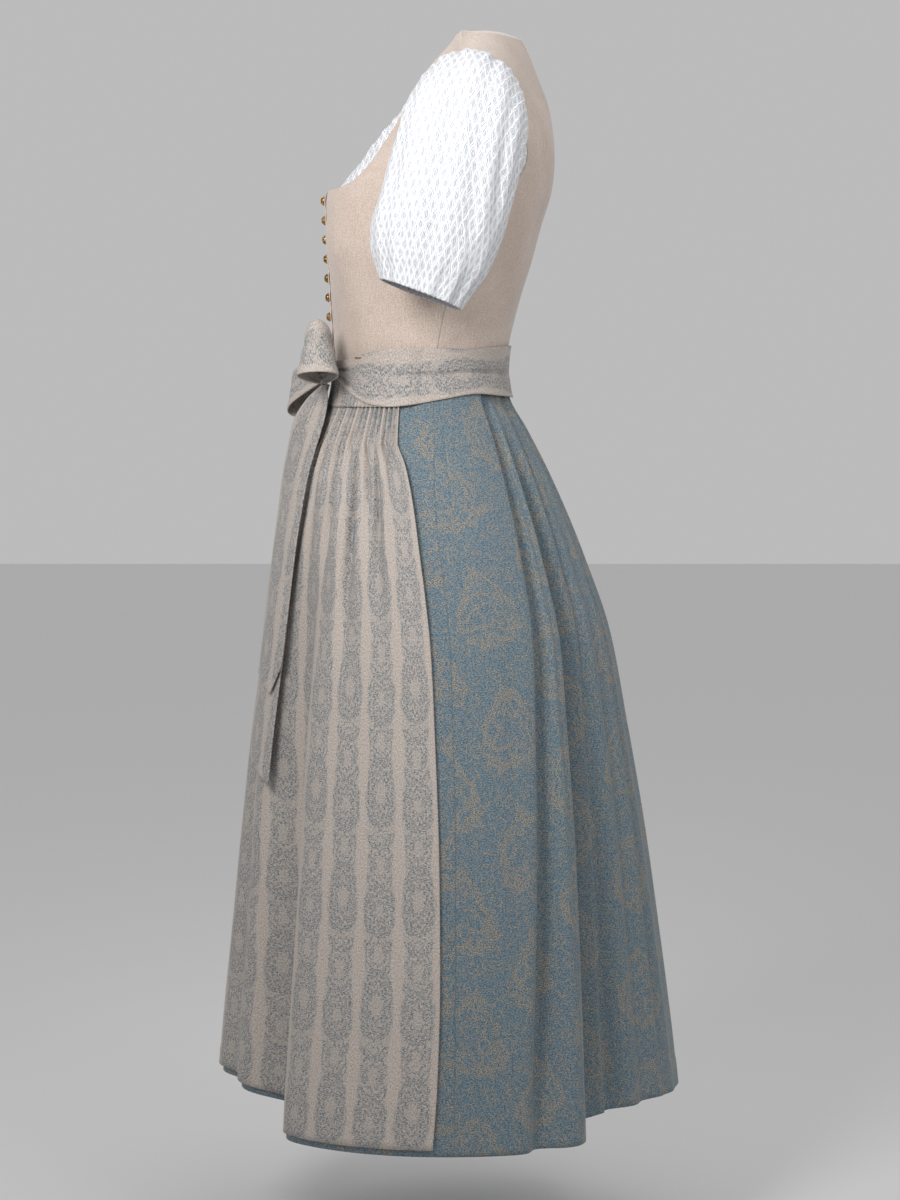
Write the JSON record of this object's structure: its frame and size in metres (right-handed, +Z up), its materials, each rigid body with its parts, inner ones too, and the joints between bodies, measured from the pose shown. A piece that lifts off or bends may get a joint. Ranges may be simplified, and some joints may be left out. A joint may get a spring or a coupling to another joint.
{
  "type": "dirndl",
  "caption": "Ankle-length dirndl in its worn form: fitted sleeveless bodice buttoned down the front, short puff-sleeved blouse, pleated skirt and a gauged apron tied in a bow.",
  "frame": {"origin": "midway between the two shoulder straps of the bodice, level with where they rest on the shoulders, as the garment hangs when worn", "axes": "+Z up along the wearer's body, -Y out of the centre front (the buttons), +X towards the wearer's left, where the bow is tied"},
  "size_m": [0.5483, 0.5215, 1.2046],
  "materials": {
    "wool": "taupe melange wool cloth, matt, with a faint upright slub",
    "skirt": "slate-blue jacquard with thin tan scroll figures, low sheen",
    "apron": "warm grey-beige jacquard with upright slate-blue ornament stripes, low sheen",
    "lace": "white cotton lace with a small diamond figure, matt",
    "bronze": "antiqued bronze-coloured metal, satin"
  },
  "bodies": {
    "root": {"bodice_front_left": "wool", "bodice_front_right": "wool", "bodice_back": "wool", "bodice_button_band": "wool", "blouse_front_left": "lace", "blouse_front_right": "lace", "blouse_sleeve_left": "lace", "blouse_sleeve_right": "lace", "skirt_front_left": "skirt", "skirt_front_right": "skirt", "skirt_back_left": "skirt", "skirt_back_right": "skirt", "apron_panel": "apron", "apron_waistband": "apron", "sash_left": "apron", "sash_right": "apron", "bow_knot": "apron", "bow_loop_left": "apron", "bow_loop_right": "apron", "bow_tail_upper": "apron", "bow_tail_lower": "apron", "apron_pin": "bronze", "button_1": "bronze", "button_2": "bronze", "button_3": "bronze", "button_4": "bronze", "button_5": "bronze", "button_6": "bronze", "button_7": "bronze", "button_8": "bronze"}
  },
  "joints": []
}
